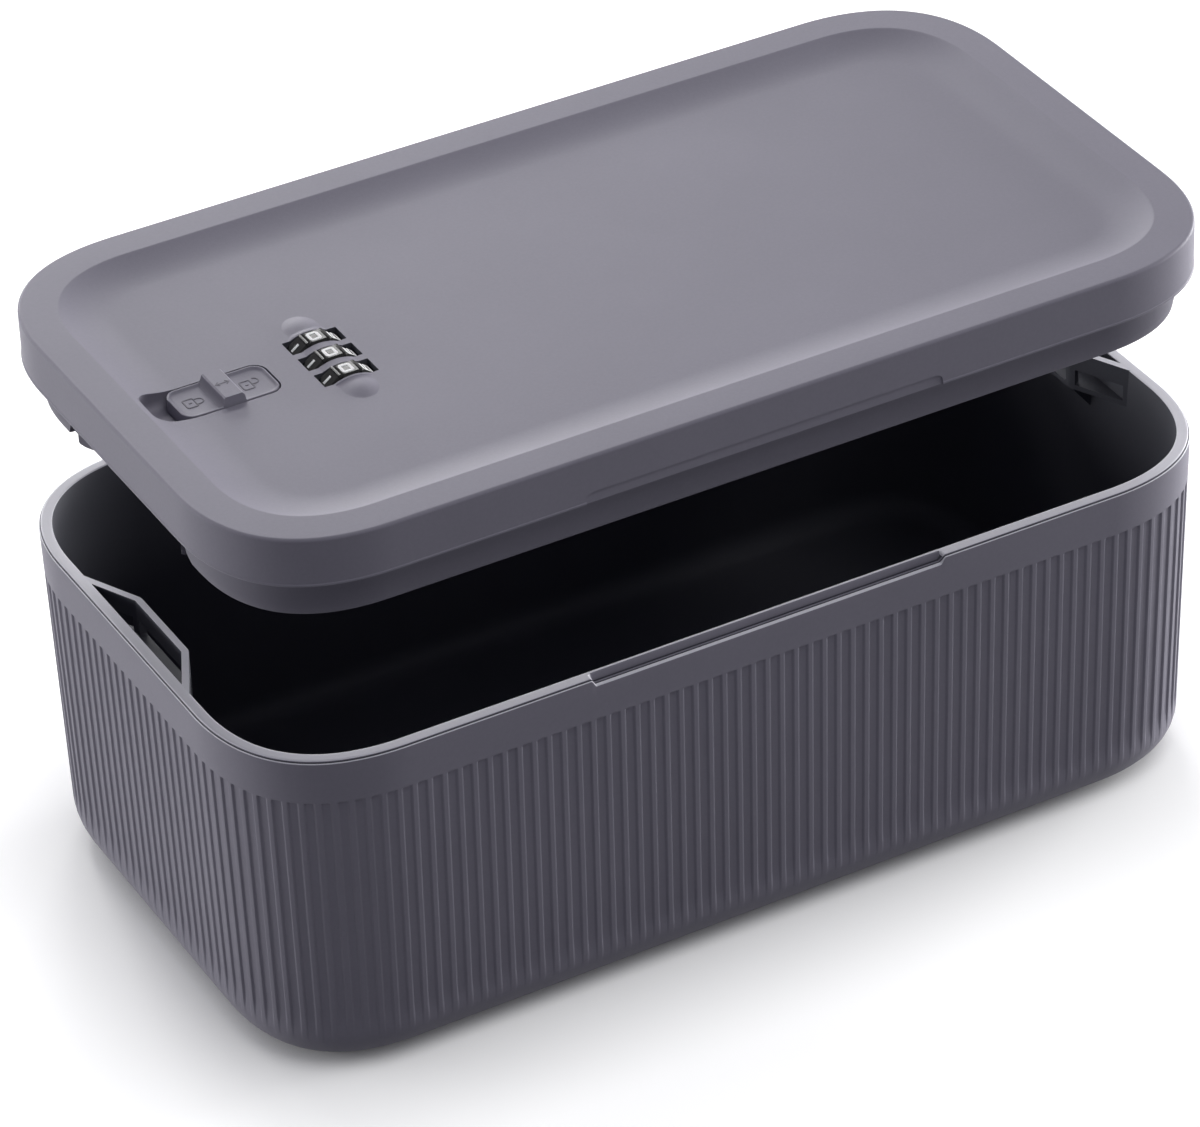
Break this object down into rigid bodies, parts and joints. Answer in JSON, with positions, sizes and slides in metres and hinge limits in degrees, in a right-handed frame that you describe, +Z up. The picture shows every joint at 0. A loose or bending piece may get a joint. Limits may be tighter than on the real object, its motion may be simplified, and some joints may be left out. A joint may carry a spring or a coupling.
{
  "type": "medication lock box",
  "caption": "Ribbed lift-off-lid box for medicines; a slider on the lid throws a bolt into each end of the tub, gated by number dials.",
  "frame": {"origin": "centre of the tub's base, on the surface it stands on", "axes": "+X along the long side away from the slider, +Y across the box, +Z up"},
  "size_m": [0.26, 0.143, 0.1494],
  "materials": {
    "shell": "fine matte moulded plastic, warm purple grey",
    "liner": "fine matte moulded plastic, dark grey",
    "dial": "glossy black moulded plastic with white numerals",
    "lock": "acetal, satin",
    "steel": "bright steel"
  },
  "bodies": {
    "tub": {"tub": "shell"},
    "lid": {"lid_cover": "shell", "lid_liner": "liner", "pinion_screw": "steel", "reset_spring": "steel", "lock_housing": "lock", "dial_click_spring": "steel", "bolt_click_spring": "steel", "lid_screw_1": "steel", "lid_screw_2": "steel", "lid_screw_3": "steel", "lid_screw_4": "steel", "lid_screw_5": "steel", "lid_screw_6": "steel", "lid_screw_7": "steel", "lid_screw_8": "steel", "housing_screw_1": "steel", "housing_screw_2": "steel", "housing_screw_3": "steel", "housing_screw_4": "steel"},
    "slider": {"slider_button": "shell", "slider_screw": "steel", "near_bolt": "lock"},
    "far_bolt": {"far_bolt": "lock"},
    "pinion": {"reversing_pinion": "lock"},
    "dial_1": {"number_dial_1": "dial", "code_cam_1": "lock"},
    "dial_2": {"number_dial_2": "dial", "code_cam_2": "lock"},
    "dial_3": {"number_dial_3": "dial", "code_cam_3": "lock"},
    "reset": {"reset_tab": "lock", "dial_shaft": "steel", "shaft_clip": "steel"}
  },
  "joints": [
    {"name": "lid_lift", "type": "slide", "parent": "tub", "child": "lid", "axis": [0, 0, 1], "range_m": [-0.0467, 0.06]},
    {"name": "slider_throw", "type": "slide", "parent": "lid", "child": "slider", "axis": [-1, 0, 0], "range_m": [0, 0.0064]},
    {"name": "far_bolt_throw", "type": "slide", "parent": "lid", "child": "far_bolt", "axis": [1, 0, 0], "range_m": [0, 0.0064]},
    {"name": "pinion_turn", "type": "hinge", "parent": "lid", "child": "pinion", "pos_m": [-0.046, 0, 0.1296], "axis": [0, 0, -1], "range_deg": [0, 58.67]},
    {"name": "dial_1_turn", "type": "hinge", "parent": "lid", "child": "dial_1", "pos_m": [-0.0731, 0.008, 0.1398], "axis": [0, 1, 0], "continuous": true},
    {"name": "dial_2_turn", "type": "hinge", "parent": "lid", "child": "dial_2", "pos_m": [-0.0731, 0, 0.1398], "axis": [0, 1, 0], "continuous": true},
    {"name": "dial_3_turn", "type": "hinge", "parent": "lid", "child": "dial_3", "pos_m": [-0.0731, -0.008, 0.1398], "axis": [0, 1, 0], "continuous": true},
    {"name": "reset_push", "type": "slide", "parent": "lid", "child": "reset", "axis": [0, -1, 0], "range_m": [0, 0.001], "stiffness_N_per_m": 500}
  ],
  "couplings": [
    {"joint": "far_bolt_throw", "follows": "slider_throw", "ratio": 1},
    {"joint": "pinion_turn", "follows": "slider_throw", "rad_per_m": 160}
  ]
}
